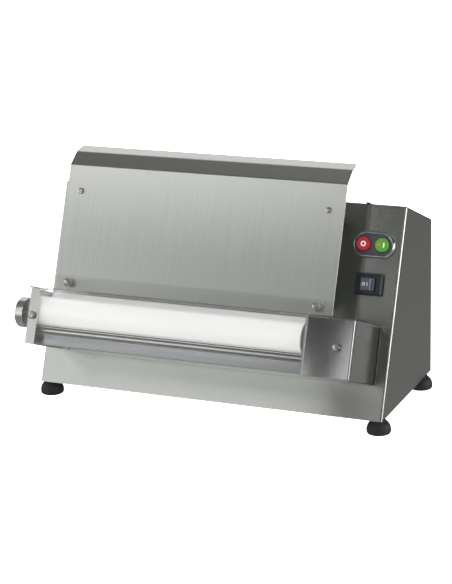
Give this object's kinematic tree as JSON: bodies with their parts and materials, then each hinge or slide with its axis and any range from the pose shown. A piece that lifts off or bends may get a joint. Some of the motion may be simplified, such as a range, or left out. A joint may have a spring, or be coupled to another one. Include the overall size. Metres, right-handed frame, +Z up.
{
  "type": "dough sheeter",
  "caption": "Countertop dough sheeter: wedge-shaped stainless drive housing, inclined feed chute and a pair of white rollers behind a clear guard, with a gap adjusting knob.",
  "frame": {"origin": "on the table under the middle of the machine's outer box", "axes": "+X along the rollers to the operator's right, -Y towards the operator, +Z up"},
  "size_m": [0.615, 0.3674, 0.4002],
  "materials": {
    "front_shell": "polished, with a fine horizontal grain",
    "side_panel_left": "polished, with a fine horizontal grain",
    "side_panel_right": "polished, with a fine horizontal grain",
    "base_plate": "satin",
    "rear_cover": "satin",
    "feed_chute": "brushed",
    "gear_cover": "brushed",
    "left_bracket": "brushed",
    "tie_plate": "brushed",
    "chute_standoff_upper_left": "machined",
    "chute_standoff_upper_right": "machined",
    "chute_standoff_lower_left": "machined",
    "chute_standoff_lower_right": "machined",
    "chute_screw_left": "machined",
    "chute_screw_right": "machined",
    "flange_screw_left": "machined",
    "flange_screw_right": "machined",
    "guard_screw_left": "machined",
    "guard_screw_right": "machined",
    "adjusting_knob": "machined",
    "eccentric_shaft": "machined",
    "rear_roller_shaft": "machined",
    "rear_roller_gear": "machined",
    "front_roller_gear": "machined",
    "idler_stud_a": "machined",
    "idler_stud_b": "machined",
    "inner_bearing_plate": "machined",
    "outer_bearing_plate": "machined",
    "motor_saddle": "machined",
    "safety_guard": "clear polycarbonate sheet",
    "front_roller_sleeve": "smooth white acetal",
    "rear_roller_sleeve": "smooth white acetal",
    "idler_gear_a": "smooth white acetal",
    "idler_gear_b": "smooth white acetal",
    "guard_spacer_left": "smooth white acetal",
    "guard_spacer_right": "smooth white acetal",
    "front_scraper": "dark moulded plastic",
    "rear_scraper": "dark moulded plastic",
    "button_bezel": "dark moulded plastic",
    "rocker_frame": "dark moulded plastic",
    "cable_gland": "dark moulded plastic",
    "power_rocker": "grey moulded plastic",
    "contact_block": "grey moulded plastic",
    "control_relay": "grey moulded plastic",
    "motor_capacitor": "grey moulded plastic",
    "stop_button": "glossy",
    "start_button": "glossy",
    "foot_front_left": "matt",
    "foot_front_right": "matt",
    "foot_rear_left": "matt",
    "foot_rear_right": "matt",
    "drive_belt": "matt",
    "drive_motor": "satin enamel",
    "gear_reducer": "cast",
    "rear_pulley": "cast",
    "motor_pulley": "cast",
    "front_bush_left": "sintered bronze",
    "front_bush_right": "sintered bronze",
    "rear_bush_left": "sintered bronze",
    "rear_bush_right": "sintered bronze"
  },
  "bodies": {
    "housing": {"front_shell": "front_shell", "side_panel_left": "side_panel_left", "side_panel_right": "side_panel_right", "base_plate": "base_plate", "rear_cover": "rear_cover", "feed_chute": "feed_chute", "gear_cover": "gear_cover", "left_bracket": "left_bracket", "tie_plate": "tie_plate", "chute_standoff_upper_left": "chute_standoff_upper_left", "chute_standoff_upper_right": "chute_standoff_upper_right", "chute_standoff_lower_left": "chute_standoff_lower_left", "chute_standoff_lower_right": "chute_standoff_lower_right", "chute_screw_left": "chute_screw_left", "chute_screw_right": "chute_screw_right", "flange_screw_left": "flange_screw_left", "flange_screw_right": "flange_screw_right", "guard_screw_left": "guard_screw_left", "guard_screw_right": "guard_screw_right", "idler_stud_a": "idler_stud_a", "idler_stud_b": "idler_stud_b", "inner_bearing_plate": "inner_bearing_plate", "outer_bearing_plate": "outer_bearing_plate", "motor_saddle": "motor_saddle", "safety_guard": "safety_guard", "guard_spacer_left": "guard_spacer_left", "guard_spacer_right": "guard_spacer_right", "front_scraper": "front_scraper", "rear_scraper": "rear_scraper", "button_bezel": "button_bezel", "rocker_frame": "rocker_frame", "cable_gland": "cable_gland", "contact_block": "contact_block", "control_relay": "control_relay", "motor_capacitor": "motor_capacitor", "foot_front_left": "foot_front_left", "foot_front_right": "foot_front_right", "foot_rear_left": "foot_rear_left", "foot_rear_right": "foot_rear_right", "drive_belt": "drive_belt", "drive_motor": "drive_motor", "gear_reducer": "gear_reducer", "rear_bush_left": "rear_bush_left", "rear_bush_right": "rear_bush_right"},
    "adjuster": {"adjusting_knob": "adjusting_knob", "eccentric_shaft": "eccentric_shaft"},
    "front_carriage": {"front_bush_left": "front_bush_left", "front_bush_right": "front_bush_right"},
    "front_roller": {"front_roller_sleeve": "front_roller_sleeve"},
    "front_gear": {"front_roller_gear": "front_roller_gear"},
    "rear_roller": {"rear_roller_sleeve": "rear_roller_sleeve", "rear_roller_shaft": "rear_roller_shaft", "rear_roller_gear": "rear_roller_gear", "rear_pulley": "rear_pulley"},
    "idler_a": {"idler_gear_a": "idler_gear_a"},
    "idler_b": {"idler_gear_b": "idler_gear_b"},
    "motor_shaft": {"motor_pulley": "motor_pulley"},
    "stop_button": {"stop_button": "stop_button"},
    "start_button": {"start_button": "start_button"},
    "rocker": {"power_rocker": "power_rocker"}
  },
  "joints": [
    {"name": "knob_turn", "type": "hinge", "parent": "housing", "child": "adjuster", "pos_m": [-0.288, -0.13389, 0.15838], "axis": [1, 0, 0], "range_deg": [-22, 22]},
    {"name": "roller_gap_slide", "type": "slide", "parent": "housing", "child": "front_carriage", "axis": [0, -0.9272, 0.3746], "range_m": [-0.0022, 0.0022]},
    {"name": "rear_roller_spin", "type": "hinge", "parent": "housing", "child": "rear_roller", "pos_m": [-0.003, -0.08142, 0.1553], "axis": [1, 0, 0], "continuous": true},
    {"name": "front_roller_spin", "type": "hinge", "parent": "front_carriage", "child": "front_roller", "pos_m": [-0.003, -0.13183, 0.16348], "axis": [1, 0, 0], "continuous": true},
    {"name": "front_gear_spin", "type": "hinge", "parent": "housing", "child": "front_gear", "pos_m": [-0.003, -0.13183, 0.16348], "axis": [1, 0, 0], "continuous": true},
    {"name": "idler_a_spin", "type": "hinge", "parent": "housing", "child": "idler_a", "pos_m": [-0.003, -0.10544, 0.12849], "axis": [1, 0, 0], "continuous": true},
    {"name": "idler_b_spin", "type": "hinge", "parent": "housing", "child": "idler_b", "pos_m": [-0.003, -0.14419, 0.13289], "axis": [1, 0, 0], "continuous": true},
    {"name": "motor_shaft_spin", "type": "hinge", "parent": "housing", "child": "motor_shaft", "pos_m": [-0.003, 0.0629, 0.0902], "axis": [1, 0, 0], "continuous": true},
    {"name": "stop_button_press", "type": "slide", "parent": "housing", "child": "stop_button", "axis": [0, 0.9272, -0.3746], "range_m": [0, 0.004], "stiffness_N_per_m": 900},
    {"name": "start_button_press", "type": "slide", "parent": "housing", "child": "start_button", "axis": [0, 0.9272, -0.3746], "range_m": [0, 0.004], "stiffness_N_per_m": 900},
    {"name": "rocker_tilt", "type": "hinge", "parent": "housing", "child": "rocker", "pos_m": [0.2505, -0.00388, 0.21856], "axis": [0, 0.3746, 0.9272], "range_deg": [0, 16]}
  ],
  "couplings": [
    {"joint": "roller_gap_slide", "follows": "knob_turn", "m_per_rad": 0.0055},
    {"joint": "front_roller_spin", "follows": "rear_roller_spin", "ratio": -1},
    {"joint": "front_gear_spin", "follows": "rear_roller_spin", "ratio": -1},
    {"joint": "idler_a_spin", "follows": "rear_roller_spin", "ratio": -0.71429},
    {"joint": "idler_b_spin", "follows": "rear_roller_spin", "ratio": 0.83333},
    {"joint": "motor_shaft_spin", "follows": "rear_roller_spin", "ratio": 1}
  ]
}
